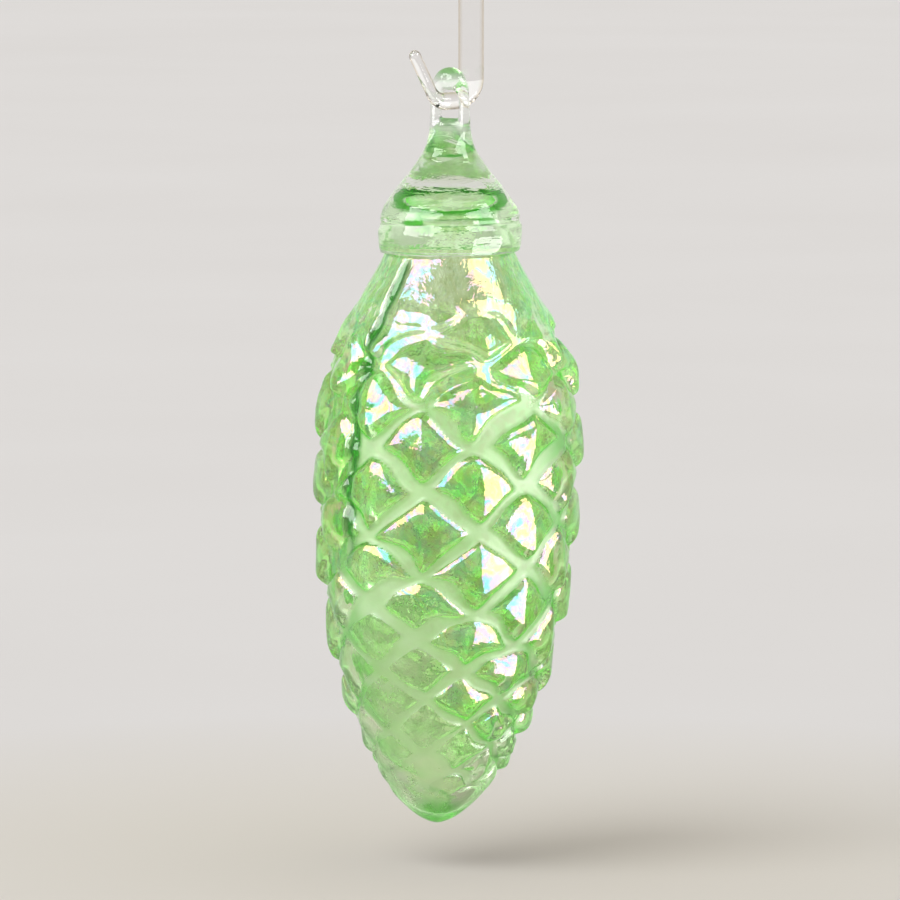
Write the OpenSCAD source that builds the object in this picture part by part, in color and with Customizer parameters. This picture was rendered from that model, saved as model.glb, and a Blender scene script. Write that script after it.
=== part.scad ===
// Blown-glass pinecone ornament hanging from a hook of drawn glass rod.
// Lengths are in millimetres and +Z is up. The origin is the seat inside the hook's upper crook,
// where the ornament is hung. The hook lies in the XZ plane and the ornament swings about X.

/* [Cone] */
// Length of the blown cone from its tip to the mouth of its neck
cone_len = 112.8; // [100:0.2:125]
// Diameter of the cone at its belly, halfway between groove and crest
cone_dia = 48.8; // [42:0.2:56]
// Height of the belly above the tip
belly_height = 66; // [55:1:75]
// Outside diameter of the neck, before its lip turns in
neck_dia = 20.4; // [18:0.2:26]
// Outside diameter of the neck's lip, which turns in under the cap
lip_dia = 15; // [13:0.2:17]
// Thickness of the glass under the grooves and at the neck
wall = 1.8; // [1.2:0.1:3]
// Thickness of the glass at the tip
tip_wall = 3.6; // [2.4:0.2:6]
// Sideways drift of the tip from the straight axis
tip_drift = 2.4; // [0:0.2:4]
// Heading of that drift about the vertical
drift_heading = 140; // [-180:5:180]

/* [Scales] */
// Scales around the cone in one row
scales_around = 7; // [5:1:9]
// Height of a scale from groove to crest
relief = 2; // [0.6:0.1:2.6]
// Share of that height that lies below the belly diameter
sunk_share = 0.6; // [0.4:0.05:0.8]
// Rise from one row to the next, over the radius there
row_pitch = 0.305; // [0.25:0.005:0.4]
// Height above the tip of one row of scale centres
row_height = 64.6; // [55:0.2:75]
// Heading of one scale centre in that row
scale_heading = -13; // [-60:1:60]
// Width of the flat grooves between scales, as a share of the distance from groove to groove
groove_share = 0.2; // [0.1:0.05:0.4]
// Drop of a scale's two facets from the ridge between them to its sides
ridge_drop = 0.3; // [0:0.05:0.6]
// How much more a scale stands out at its lower edge
scale_tilt = 0.3; // [0:0.05:0.5]
// How much further the scales near the tip stand out at their lower edge
tip_tilt = 0.4; // [0:0.05:0.5]
// Length of the plain tip below the scales
plain_tip = 5; // [3:0.5:8]
// Length of the plain neck above the scales
plain_neck = 13.8; // [11:0.2:18]
// Length over which the scales fade in at the tip
tip_fade = 9; // [6:0.5:14]
// Length over which the scales fade out at the neck
neck_fade = 9; // [6:0.5:14]

/* [Cap] */
// Thickness of the cap's rim around the neck
rim_thick = 1.3; // [0.9:0.1:3]
// Height of the cap above the mouth of the neck
cap_len = 12.2; // [10:0.2:18]
// Depth of the rim's lower edge below the mouth
rim_drop = 6.9; // [5:0.1:9]
// Height of the rim from its lower edge to its widest place
rim_height = 4.3; // [3:0.1:5]
// Height to which the hollow of the bubble rises into the cap
roof_rise = 2.4; // [0.4:0.2:4]
// Diameter of the cap's flat top, where the loop is fused on
cap_top_dia = 9.2; // [8:0.2:11]

/* [Loop] */
// Thickness of the loop at its crown
crown_dia = 4.4; // [3:0.1:5.5]
// Thickness of the loop's legs
leg_dia = 1.8; // [1.4:0.1:3]
// Thickness of the legs at their roots
root_dia = 2.2; // [1.8:0.1:4]
// Length of the foot from the roots of the legs down to the cap
foot_len = 4.4; // [3:0.1:7]
// Height of the foot's straight edge
foot_edge = 0.6; // [0.4:0.1:1.2]
// Twist of the loop about the vertical, away from square to the hook
loop_twist = 20; // [0:1:25]

/* [Hook] */
// Diameter of the glass rod along the shank
rod_dia = 4.7; // [4:0.1:6]
// Diameter of the rod at each seat
seat_dia = 3.2; // [2.4:0.1:3.6]
// Diameter of the drawn tips
tip_dia = 2.2; // [1.8:0.1:3]
// Length of the straight seat in each crook
seat_len = 2.4; // [1.6:0.1:4]
// Distance between the rod's centres at the two seats
hook_drop = 36; // [26:0.5:60]
// Length of each straight tip
tip_len = 7.6; // [2:0.2:10]
// Lean of each tip away from the shank
tip_lean = 30; // [0:1:40]

/* [Fits] */
// Gap between the loop's crown and the rod that it hangs on
hang_gap = 0.25; // [0.15:0.05:0.4]
// Gap between the loop's legs and the rod, on each side of the eye
eye_play = 0.5; // [0.4:0.1:2]
// Gap between the rod and the bottom of the eye
eye_room = 1.4; // [0.6:0.1:3]
// Gap between the loop's crown and the shank beside it
crook_play = 0.5; // [0.4:0.05:2]
// Gap between the cap and the sides of the neck
joint_gap = 0.15; // [0.1:0.05:0.3]
// Step from each seat up to the drawn rod beside it
seat_step = 0.05; // [0.04:0.01:0.15]

/* [Hidden] */

belly_r = cone_dia / 2;
neck_r = neck_dia / 2;
lip_turn = neck_r - lip_dia / 2;
bead_r = rim_thick / 2;
lip_len = rim_drop - bead_r;
groove_depth = relief * sunk_share;
scales_top = cone_len - plain_neck;

seat_r = seat_dia / 2;
root_r = root_dia / 2;
crown_r = crown_dia / 2;
rod_r = rod_dia / 2;
crook_x = seat_len / 2;
bend_radius = crown_r + crook_play + rod_r - crook_x;
eye_half = seat_r + eye_play;
eye_depth = seat_r + eye_room;
foot_drop = eye_depth + root_r + foot_len;
hinge_z = seat_r - hook_drop;
foot_z = hinge_z - foot_drop;
mouth_z = foot_z - cap_len;
tip_z = mouth_z - cone_len;

// Facets: steps from one row of scales to the next, rings of the plain glass, and sides of drawn glass
row_steps = 4;
tip_rings = 4;
neck_rings = 4;
lip_rings = 5;
cavity_rings = 12;
rod_sides = 20;
bend_steps = 8;
flare_steps = 16;
bead_steps = 8;

// Outlines
// The cone fills out from 0 at its tip to 1 at its belly with a slightly pointed start
tip_power = 0.6;
function fill_out(t) = pow(1 - pow(1 - t, 2), tip_power);

// The flare of the neck eases from 1 to 0
function flare(t) = (1 + cos(180 * t)) / 2;

// The cap's trumpet is fuller than that flare, and nearly straight in its upper half
fullness = 0.4;
function trumpet(t) = (1 - fullness) * flare(t) + fullness * (1 - t * t);

// The neck turns in late, close to the mouth
shoulder_power = 1.58;
function bubble_radius(h, bottom, belly, mouth) =
    h <= belly_height
        ? belly * fill_out(max(0, h - bottom) / (belly_height - bottom))
        : mouth + (belly - mouth)
            * flare(pow((h - belly_height) / (cone_len - belly_height), shoulder_power));

function smooth(t) = let(s = min(1, max(0, t))) s * s * (3 - 2 * s);

// Under the cap the neck turns in to its lip. The cap follows it at the same heights.
function lip_height(i) = cone_len - lip_len * (1 - i / lip_rings);
function turn_in(h) = lip_turn * smooth((h - lip_height(0)) / lip_len);

function outer_radius(h) = bubble_radius(h, 0, belly_r, neck_r) - turn_in(h);
function cavity_radius(h) =
    bubble_radius(h, tip_wall, belly_r - groove_depth - wall, neck_r - wall) - turn_in(h);

function scale_fade(h) = smooth((h - plain_tip) / tip_fade) * smooth((scales_top - h) / neck_fade);
function drift(h) = tip_drift * pow(1 - h / cone_len, 2) * [cos(drift_heading), sin(drift_heading)];

// Scales
// Two families of spiral grooves cross. Whole numbers of p and q are scale centres, halves are grooves.
// Beside its flat groove a scale rises with a rounded bank to a roof of two facets that meet in an
// upright ridge, and it leans out like a shingle.
bank_start = 7;
bank_round = 0.8;
function crest(t) =
    let(side = min(1, 2 * abs(t - round(t)) / (1 - groove_share)))
    pow(1 - pow(side, bank_start), bank_round);

// A facet is flat: between the ridge and its side it lies below the round of the cone
flat_share = 1 - cos(90 / scales_around);
function facet_drop(side, h) = ridge_drop * side + 4 * flat_share * outer_radius(h) * side * (1 - side);

// The lean grows from the belly down and is full well above the tip
tilt_reach = 0.62;
function lean(h) = scale_tilt + tip_tilt * smooth((1 - h / belly_height) / tilt_reach);
least_height = 0.1;
function scale_height(u, v, h) =
    let(p = u + v / 2, q = u - v / 2, dp = p - round(p), dq = q - round(q))
    let(roof = relief * (1 - lean(h) * (dp - dq)) - facet_drop(abs(dp + dq), h))
    crest(p) * crest(q) * max(least_height, roof);

// Climb of the surface between neighbouring rings, worked out from the slope of the outline
slope_reach = 0.05;
function slope(h) = (outer_radius(h + slope_reach) - outer_radius(h - slope_reach)) / (2 * slope_reach);
function climb(h) = row_pitch * outer_radius(h) / sqrt(1 + pow(slope(h), 2)) / row_steps;

// Rings of the outer skin, from the tip up, each with its height and its place among the rows of scales
rows_down = [for (h = row_height, i = 0; h > plain_tip; h = h - climb(h), i = i + 1) [h, -i / row_steps]];
rows_up = [for (h = row_height, i = 0; h < scales_top; h = h + climb(h), i = i + 1) [h, i / row_steps]];
first_row = rows_down[len(rows_down) - 1];
last_row = rows_up[len(rows_up) - 1];
tip_rows = [for (i = [1:tip_rings]) [first_row[0] * pow(i / (tip_rings + 1), 2), first_row[1]]];
neck_rows = [for (i = [1:neck_rings])
    [last_row[0] + (lip_height(0) - last_row[0]) * i / neck_rings, last_row[1]]];
lip_rows = [for (i = [1:lip_rings]) [lip_height(i), last_row[1]]];
outer_rows = concat(
    tip_rows,
    [for (i = [len(rows_down) - 1:-1:1]) rows_down[i]],
    rows_up,
    neck_rows,
    lip_rows);

columns = 2 * row_steps * scales_around;
function column_heading(i) = scale_heading + 360 * i / columns;
function skin_radius(row, i) =
    outer_radius(row[0])
    + scale_fade(row[0]) * (scale_height(i / (2 * row_steps), row[1], row[0]) - groove_depth);
function skin_point(h, r, heading) = let(d = drift(h)) [d[0] + r * cos(heading), d[1] + r * sin(heading), h];

// The cavity's rings lie closer together near its round bottom
function cavity_height(i) = tip_wall + (lip_height(0) - tip_wall) * pow(i / cavity_rings, 1.5);
cavity_rows = concat(
    [for (i = [1:cavity_rings]) cavity_height(i)],
    [for (i = [1:lip_rings]) lip_height(i)]);

// Triangles between ring a and ring b of a skin. The diagonal follows the nearer groove.
function nearer_groove(i, row) =
    let(u = (i + 0.5) / (2 * row_steps), v = row[1] + 0.5 / row_steps)
    abs(cos(180 * (u + v / 2))) < abs(cos(180 * (u - v / 2)));
function band(a, b, i, falling) =
    let(j = (i + 1) % columns)
    falling
        ? [[a + i, b + i, a + j], [a + j, b + i, b + j]]
        : [[a + i, b + i, b + j], [a + i, b + j, a + j]];

module cone_body() {
    rings = len(outer_rows);
    hollow_rings = len(cavity_rows);
    cavity_start = 1 + rings * columns;
    cavity_pole = cavity_start + hollow_rings * columns;
    skin = [for (row = outer_rows) for (i = [0:columns - 1])
        skin_point(row[0], skin_radius(row, i), column_heading(i))];
    cavity = [for (k = [hollow_rings - 1:-1:0]) for (i = [0:columns - 1])
        skin_point(cavity_rows[k], cavity_radius(cavity_rows[k]), column_heading(i))];
    points = concat([skin_point(0, 0, 0)], skin, cavity, [skin_point(tip_wall, 0, 0)]);
    faces = concat(
        [for (i = [0:columns - 1]) [0, 1 + i, 1 + (i + 1) % columns]],
        [for (k = [0:rings - 2]) for (i = [0:columns - 1])
            for (f = band(1 + k * columns, 1 + (k + 1) * columns, i, nearer_groove(i, outer_rows[k]))) f],
        [for (k = [rings - 1:rings + hollow_rings - 2]) for (i = [0:columns - 1])
            for (f = band(1 + k * columns, 1 + (k + 1) * columns, i, false)) f],
        [for (i = [0:columns - 1]) let(last = cavity_pole - columns)
            [last + i, cavity_pole, last + (i + 1) % columns]]);
    color([0.55, 0.82, 0.42, 0.75]) translate([0, 0, tip_z]) polyhedron(points, faces, convexity = 8);
}

// Clear cap dropped hot over the open neck: the hollow domes up into it and its rim wraps the outside
module neck_cap() {
    top_r = cap_top_dia / 2;
    skirt_r = outer_radius(cone_len - rim_drop) + joint_gap;
    rim_r = skirt_r + rim_thick;
    mouth_r = cavity_radius(cone_len);
    rim_level = rim_height - rim_drop;
    neck_skirt = [for (i = [lip_rings:-1:1])
        [outer_radius(lip_height(i)) + joint_gap, lip_height(i) - cone_len]];
    inner_bead = [for (i = [0:bead_steps - 1]) let(a = 90 * i / bead_steps)
        [skirt_r + bead_r * (1 - cos(a)), bead_r * (1 - sin(a)) - rim_drop]];
    rim = [for (i = [0:bead_steps - 1]) let(a = 90 * i / bead_steps)
        [skirt_r + bead_r * (1 + sin(a)), rim_height * (1 - cos(a)) - rim_drop]];
    shoulder = [for (i = [0:flare_steps]) let(t = i / flare_steps)
        [top_r + (rim_r - top_r) * trumpet(t), rim_level + (cap_len - rim_level) * t]];
    roof = [for (i = [0:bead_steps]) let(a = 90 * i / bead_steps) [mouth_r * sin(a), roof_rise * cos(a)]];
    color([0.88, 0.96, 0.88, 0.5]) translate([0, 0, mouth_z])
        rotate_extrude($fn = 96)
            polygon(concat(roof, neck_skirt, inner_bead, rim, shoulder, [[0, cap_len]]));
}

// Drawn glass
// A station is [across, up, heading of the rod, radius] in a vertical plane.
function ring_of(s) = [for (i = [0:rod_sides - 1]) let(a = 360 * i / rod_sides)
    [s[0] - s[3] * cos(a) * sin(s[2]), -s[3] * sin(a), s[1] + s[3] * cos(a) * cos(s[2])]];

module drawn_rod(stations) {
    rings = len(stations);
    points = [for (s = stations) for (p = ring_of(s)) p];
    sides = [for (k = [0:rings - 2]) for (i = [0:rod_sides - 1])
        let(j = (i + 1) % rod_sides, a = k * rod_sides, b = a + rod_sides)
        for (f = [[a + i, b + i, b + j], [a + i, b + j, a + j]]) f];
    ends = [[for (i = [0:rod_sides - 1]) i], [for (i = [rod_sides - 1:-1:0]) (rings - 1) * rod_sides + i]];
    polyhedron(points, concat(sides, ends), convexity = 8);
}

// Glass loop: legs rise from the foot to an arch that thickens to its crown
module hanging_loop() {
    leg_r = leg_dia / 2;
    half_span = eye_half + leg_r;
    crown_z = seat_r + hang_gap + crown_r;
    root_z = -eye_depth - root_r;
    arch_steps = 20;
    arch = [for (i = [0:arch_steps]) let(a = 180 * i / arch_steps, rise = sin(a))
        [half_span * cos(a), crown_z * rise, atan2(crown_z * cos(a), -half_span * rise),
            leg_r + (crown_r - leg_r) * rise * rise]];
    stations = concat([[half_span, root_z, 90, root_r]], arch, [[-half_span, root_z, 270, root_r]]);
    color([0.88, 0.96, 0.88, 0.5]) translate([0, 0, hinge_z]) rotate([0, 0, 90 + loop_twist]) {
        drawn_rod(stations);
        hull() {
            translate([0, 0, -foot_drop]) cylinder(d = cap_top_dia, h = foot_edge, $fn = 32);
            for (side = [-1, 1]) translate([side * half_span, 0, root_z]) sphere(r = root_r, $fn = 32);
        }
    }
}

// Hook: a rod bent into a crook at each end, with drawn tips that lean outwards
module hanger_hook() {
    land_r = seat_r + seat_step;
    tip_r = tip_dia / 2;
    shank_bend = [for (i = [0:bend_steps]) let(a = 90 * i / bend_steps)
        [crook_x + bend_radius * sin(a), bend_radius * (1 - cos(a)), a,
            land_r + (rod_r - land_r) * smooth(a / 90)]];
    shank = concat(
        shank_bend,
        [for (i = [bend_steps:-1:0]) let(s = shank_bend[i]) [s[0], hook_drop - s[1], 180 - s[2], s[3]]]);
    sweep_angle = 90 - tip_lean;
    bend_end = [-crook_x - bend_radius * sin(sweep_angle), bend_radius * (1 - cos(sweep_angle))];
    along_tip = [-cos(sweep_angle), sin(sweep_angle)];
    round_end = [for (i = [0:3]) let(a = 25 * i) [tip_len + tip_r * sin(a), tip_r * cos(a)]];
    tip = concat(
        [for (i = [0:bend_steps]) let(a = sweep_angle * i / bend_steps)
            [-crook_x - bend_radius * sin(a), bend_radius * (1 - cos(a)), 180 - a,
                land_r + (tip_r - land_r) * i / bend_steps]],
        [for (e = round_end) let(p = bend_end + e[0] * along_tip) [p[0], p[1], 180 - sweep_angle, e[1]]]);
    color([0.93, 0.95, 0.95, 0.5]) translate([0, 0, hinge_z]) {
        drawn_rod(shank);
        for (top = [0, 1]) translate([0, 0, top * hook_drop]) mirror([0, 0, top]) {
            drawn_rod(tip);
            rotate([0, 90, 0]) cylinder(r = seat_r, h = seat_len + 2 * seat_step, center = true, $fn = 64);
        }
    }
}

cone_body();
neck_cap();
hanging_loop();
hanger_hook();
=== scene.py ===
# %% [markdown]
# # A blown-glass pinecone on its hook
# The ornament is four pieces of glass: a green bubble blown into a mould of pinecone scales, a clear
# cap dropped hot on its neck, a clear loop drawn up from the cap, and a bent rod that it hangs on.
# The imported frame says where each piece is. Its solids are faceted, and glass shows every facet, so
# each one is modelled again here as smooth glass, from the same sizes and in the same place.

# %% Load the frame
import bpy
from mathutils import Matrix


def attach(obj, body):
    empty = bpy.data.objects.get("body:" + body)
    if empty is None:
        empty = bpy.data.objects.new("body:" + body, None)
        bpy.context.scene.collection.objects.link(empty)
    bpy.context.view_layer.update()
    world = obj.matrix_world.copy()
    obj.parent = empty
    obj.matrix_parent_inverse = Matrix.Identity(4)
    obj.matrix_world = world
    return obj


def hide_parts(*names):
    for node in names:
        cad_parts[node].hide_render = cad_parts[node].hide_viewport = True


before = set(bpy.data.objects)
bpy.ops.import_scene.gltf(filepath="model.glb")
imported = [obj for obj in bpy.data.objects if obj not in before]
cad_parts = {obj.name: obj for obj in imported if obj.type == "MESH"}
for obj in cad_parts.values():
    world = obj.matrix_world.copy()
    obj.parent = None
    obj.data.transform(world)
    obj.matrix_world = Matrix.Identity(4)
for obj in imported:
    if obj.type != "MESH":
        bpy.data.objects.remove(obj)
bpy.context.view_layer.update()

# %% [markdown]
# ## Sizes
# Glass is measured in millimetres and Blender works in metres, so one factor turns one into the
# other. The heights below hang from the hook: the hinge is where the loop rests on the lower crook,
# the foot is where the loop meets the cap, the mouth is where the cap meets the neck.

# %% Shared sizes
import math
import bpy
import numpy as np
from mathutils import Vector

MM = 0.001
HINGE_Z = -34.4
LOOP_DROP = 8.5
CAP_LEN = 12.2
CONE_LEN = 112.8
FOOT_Z = HINGE_Z - LOOP_DROP
MOUTH_Z = FOOT_Z - CAP_LEN
TIP_Z = MOUTH_Z - CONE_LEN
print("tip at", TIP_Z, "mm")

# %% [markdown]
# ## Working by hand in code
# Every operator acts on what is selected, and the frame arrives selected. So each piece starts with
# an empty selection, is shaped in edit mode, and ends back in object mode with its faces turned
# outwards. Points that lie on one another are merged where a sweep left them double.

# %% Helpers for a new piece
MERGE_REACH = 1e-7


def start_piece():
    if bpy.context.mode != "OBJECT":
        bpy.ops.object.mode_set(mode="OBJECT")
    bpy.ops.object.select_all(action="DESELECT")


def name_piece(name):
    piece = bpy.context.active_object
    piece.name = name
    piece.data.name = name
    return piece


def close_skin(merge):
    bpy.ops.mesh.select_all(action="SELECT")
    if merge:
        bpy.ops.mesh.remove_doubles(threshold=MERGE_REACH)
    bpy.ops.mesh.normals_make_consistent(inside=False)
    bpy.ops.object.mode_set(mode="OBJECT")


def get_points(piece):
    points = np.empty(len(piece.data.vertices) * 3)
    piece.data.vertices.foreach_get("co", points)
    return points.reshape(-1, 3) / MM


def set_points(piece, points):
    piece.data.vertices.foreach_set("co", (np.asarray(points) * MM).ravel())
    piece.data.update()


def tell(piece):
    points = get_points(piece)
    low = points.min(axis=0).round(2)
    high = points.max(axis=0).round(2)
    print(piece.name, len(piece.data.polygons), "faces, from", low, "to", high, "mm")


# %% [markdown]
# ## Turning a profile
# Blown and dropped glass is round, so it starts as a profile that is spun about the axis. A plain
# ring of points is laid along the profile, the edge that would close it along the axis is deleted,
# and Spin sweeps the rest. Each point carries its place along the profile into all of its copies,
# so later steps know whether a point is outside, inside or at the mouth.


# %% A spun profile
def turn_profile(name, profile, steps):
    start_piece()
    bpy.ops.mesh.primitive_circle_add(vertices=len(profile), fill_type="NOTHING")
    piece = name_piece(name)
    set_points(piece, [(r, 0.0, z) for r, z in profile])
    place = piece.data.attributes.new("place", "INT", "POINT")
    place.data.foreach_set("value", np.arange(len(profile), dtype=np.int32))
    ends = {0, len(profile) - 1}
    for part in (piece.data.polygons, piece.data.edges, piece.data.vertices):
        for item in part:
            item.select = False
    for edge in piece.data.edges:
        edge.select = set(edge.vertices) == ends
    bpy.ops.object.mode_set(mode="EDIT")
    bpy.ops.mesh.select_mode(type="EDGE")
    bpy.ops.mesh.delete(type="EDGE")
    bpy.ops.mesh.select_mode(type="VERT")
    bpy.ops.mesh.select_all(action="SELECT")
    bpy.ops.mesh.spin(steps=steps, angle=math.tau, center=(0, 0, 0), axis=(0, 0, 1))
    close_skin(merge=True)
    return piece


def places(piece):
    found = np.empty(len(piece.data.vertices), dtype=np.int32)
    piece.data.attributes["place"].data.foreach_get("value", found)
    return found


# %% [markdown]
# ## The outline of the bubble
# The bubble fills out from a slightly pointed tip to a belly, then turns in late to a plain neck.
# Under the cap the neck turns in to a narrow lip. The cavity has the same kind of outline, a wall
# thickness further in, with a thick bottom where the glass gathers at the tip. Two helpers that
# come back all through this lesson ease a change from nothing to full between two marks.

# %% Outline of the bubble
BELLY_H = 66.0
BELLY_R = 24.4
NECK_R = 10.2
LIP_R = 7.5
LIP_LEN = 6.25
WALL = 1.8
TIP_WALL = 3.6
GROOVE = 1.2
BELLY_FILL = 0.6
LATE_TURN = 1.58


def ease(t):
    t = np.clip(t, 0, 1)
    return t * t * (3 - 2 * t)


def between(value, none_at, full_at):
    return ease((value - none_at) / (full_at - none_at))


def outline(h, bottom, belly, mouth):
    low = np.clip((h - bottom) / (BELLY_H - bottom), 0, 1)
    high = np.clip((h - BELLY_H) / (CONE_LEN - BELLY_H), 0, 1)
    filled = belly * np.power(1 - (1 - low) ** 2, BELLY_FILL)
    turned = mouth + (belly - mouth) * (1 + np.cos(np.pi * high ** LATE_TURN)) / 2
    return np.where(h <= BELLY_H, filled, turned)


def turn_in(h):
    return (NECK_R - LIP_R) * between(h, CONE_LEN - LIP_LEN, CONE_LEN)


def skin_r(h):
    return outline(h, 0.0, BELLY_R, NECK_R) - turn_in(h)


def cavity_r(h):
    return outline(h, TIP_WALL, BELLY_R - GROOVE - WALL, NECK_R - WALL) - turn_in(h)


print("belly", skin_r(BELLY_H), "neck", skin_r(CONE_LEN), "cavity", cavity_r(BELLY_H))

# %% [markdown]
# ## Rows of scales
# Scales keep their shape as the bubble narrows, so a row is taller where the bubble is wide. The
# rings of the mesh climb with the rows: the same number of rings to every row, from one row near
# the belly down to the tip and up to the neck.

# %% Rings that follow the rows
SCALES = 7
RINGS_A_ROW = 17
ROW_PITCH = 0.305
ROW_H = 64.6
PLAIN_TIP = 5.0
SCALES_TOP = 99.0
SLOPE_STEP = 0.05


def climb(h):
    slope = (skin_r(h + SLOPE_STEP) - skin_r(h - SLOPE_STEP)) / (2 * SLOPE_STEP)
    return ROW_PITCH * skin_r(h) / math.sqrt(1 + slope * slope) / RINGS_A_ROW


def rows_from(h, way, limit):
    rings = []
    while (limit - h) * way > 0:
        rings.append((h, way * len(rings) / RINGS_A_ROW))
        h += way * float(climb(h))
    return rings


rings_down = rows_from(ROW_H, -1, PLAIN_TIP)
rings_up = rows_from(ROW_H, 1, SCALES_TOP)
rings = rings_down[:0:-1] + rings_up
ring_heights = [ring_h for ring_h, ring_row in rings]
ring_rows = [ring_row for ring_h, ring_row in rings]
print(len(rings), "rings over", round(ring_rows[-1] - ring_rows[0], 1), "rows")

# %% [markdown]
# ## Blowing the bubble
# The profile runs up the outer skin from the tip, over the lip of the neck, and down the cavity to
# the bottom of the inside. Spun, it is one closed wall of glass, so light bends at the outside and
# at the inside as it does in the real wall. Its points crowd where the glass is tightly curved.

# %% Profile of the wall, and its spin
COLUMNS = 2 * RINGS_A_ROW * SCALES
TIP_RINGS = 14
NECK_RINGS = 10
HOLLOW_RINGS = 46
HOLLOW_CROWDING = 1.5
lip_start = CONE_LEN - LIP_LEN
neck_from = ring_heights[-1]
neck_shares = [i / NECK_RINGS for i in range(1, NECK_RINGS + 1)]
hollow_shares = [(i / HOLLOW_RINGS) ** HOLLOW_CROWDING for i in range(HOLLOW_RINGS, -1, -1)]
tip_heights = [ring_heights[0] * (i / TIP_RINGS) ** 2 for i in range(TIP_RINGS)]
neck_heights = [neck_from + (lip_start - neck_from) * share for share in neck_shares]
lip_heights = [lip_start + LIP_LEN * share for share in neck_shares]
hollow_heights = [TIP_WALL + (lip_start - TIP_WALL) * share for share in hollow_shares]
skin_heights = tip_heights + ring_heights + neck_heights + lip_heights
cavity_heights = lip_heights[::-1] + hollow_heights
skin_line = [(float(skin_r(h)), h) for h in skin_heights]
lip = [(LIP_R - WALL * share, CONE_LEN) for share in (0.33, 0.67)]
cavity_line = [(float(cavity_r(h)), h) for h in cavity_heights]
bubble = turn_profile("cone_glass", skin_line + lip + cavity_line, COLUMNS)
tell(bubble)

# %% [markdown]
# ## Pressing the scales
# On the real bubble a mould presses two families of spiral grooves into soft glass, and between
# them stand the scales. A texture can't follow two spirals that tighten towards a tip, so the press
# is a formula, and it starts with the lattice of grooves. Soft glass never fills a mould evenly, so
# the lattice wanders across and along by a few waves, most of all at the shoulder, and the grooves
# are wide in one place and narrow in another. A wave is its size, how often it goes round, how far
# it turns from row to row, and where it starts.

# %% A lattice that wanders
GROOVE_SHARE = 0.175
ACROSS_WAVES = [(0.040, 3, 1.1, 0), (0.030, 8, -1.9, 2)]
ALONG_WAVES = [(0.090, 2, 0.8, 1), (0.080, 9, -2.3, 0)]
GROOVE_WAVES = [(0.06, 4, 1.7, 0), (0.04, 11, -2.9, 0)]
SHOULDER_LOOSE = 0.5
SHOULDER_H = 76.0
SHOULDER_FULL_H = 92.0


def add_waves(level, waves, turn, row):
    for size, count, rise, start in waves:
        level = level + size * np.sin(count * turn + rise * row + start)
    return level


def wander(turn, h, row):
    loose = 1 + SHOULDER_LOOSE * between(h, SHOULDER_H, SHOULDER_FULL_H)
    across = add_waves(0.0, ACROSS_WAVES, turn, row) * loose
    along = add_waves(0.0, ALONG_WAVES, turn, row) * loose
    return across, along, add_waves(GROOVE_SHARE, GROOVE_WAVES, turn, row)


# %% [markdown]
# No two scales are pressed alike. A draw of chance makes the difference, and it is worked out from
# the column and the course of a scale, so that it is the same for all points of one scale. The crest
# says where a scale stands between its grooves: flat on top, rounded off at the sides.

# %% Chance and crest
COLUMN_MIX, COURSE_MIX, DRAW_MIX, SPREAD_MIX = 12.9898, 78.233, 37.719, 43758.5453
CREST_FLAT = 7
CREST_ROUND = 0.8


def chance(column, course, draw):
    mixed = np.sin(column * COLUMN_MIX + course * COURSE_MIX + draw * DRAW_MIX) * SPREAD_MIX
    return mixed - np.floor(mixed)


def crest(offset, groove_share):
    side = np.minimum(2 * np.abs(offset) / (1 - groove_share), 1)
    return (1 - side ** CREST_FLAT) ** CREST_ROUND


# %% [markdown]
# In the lattice p and q count the grooves of each family: whole numbers are the middles of scales
# and halves are grooves. Each scale is a shallow roof: two flat facets meet in a ridge down its
# middle, its upper edge is arched, and its lower edge stands out like a shingle, most of all near
# the tip. Chance moves its ridge, tilts its roof and lowers it.

# %% The press
SCALE_HEADING = -13.0
RELIEF = 2.0
ARCH = 0.09
ARCH_WAVES = [(1.0, 3, 1.3, 0)]
RIDGE_DROP = 0.3
FACET_FLAT = 0.022
LEAN = 0.3
TIP_LEAN_MORE = 0.4
TIP_LEAN_SHARE = 0.38
LEAST_RISE = 0.1
GROOVE_TOP = 0.02
SCALE_TOP = 0.52
RIDGE_DRAW, RIDGE_STRAY = 3, 0.10
TILT_DRAW, TILT_STRAY = 5, 0.1
DEPTH_DRAW, DEPTH_STRAY = 1, 0.14


def press(turn, h, row):
    across, along, share = wander(turn, h, row)
    u = (np.degrees(turn) - SCALE_HEADING) * SCALES / 360 + across
    v = row + along
    p, q = u + v / 2, u - v / 2
    bulge = (np.cos(math.tau * p) + np.cos(math.tau * q)) / 2
    arch = ARCH * add_waves(1.0, ARCH_WAVES, turn, row) * bulge
    p, q = p - arch / 2, q + arch / 2
    middle_p, middle_q = np.round(p), np.round(q)
    scale = (np.mod(middle_p + middle_q, 2 * SCALES), middle_p - middle_q)
    from_p, from_q = p - middle_p, q - middle_q
    top = crest(from_p, share) * crest(from_q, share)
    side = np.abs(from_p + from_q + RIDGE_STRAY * (chance(*scale, RIDGE_DRAW) - 0.5))
    lean = LEAN + TIP_LEAN_MORE * between(h / BELLY_H, 1, TIP_LEAN_SHARE)
    tilt = TILT_STRAY * (chance(*scale, TILT_DRAW) - 0.5)
    roof = RELIEF - RIDGE_DROP * side - 4 * FACET_FLAT * skin_r(h) * side * (1 - side)
    roof = roof - RELIEF * lean * (from_p - from_q) + RELIEF * tilt * (from_p + from_q)
    pressed_share = 1 - DEPTH_STRAY + DEPTH_STRAY * chance(*scale, DEPTH_DRAW)
    rise = top * np.maximum(roof, LEAST_RISE) * pressed_share
    return rise, between(top, GROOVE_TOP, SCALE_TOP), bulge


# %% [markdown]
# ## From smooth bubble to cone
# Every point of the skin is going to move in or out along its own radius. The press needs to know
# where a point is: its height above the tip, its row, its heading, and how far that is to the side
# of the heading that faces the camera. The scales fade out into a plain tip and a plain neck.

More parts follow.
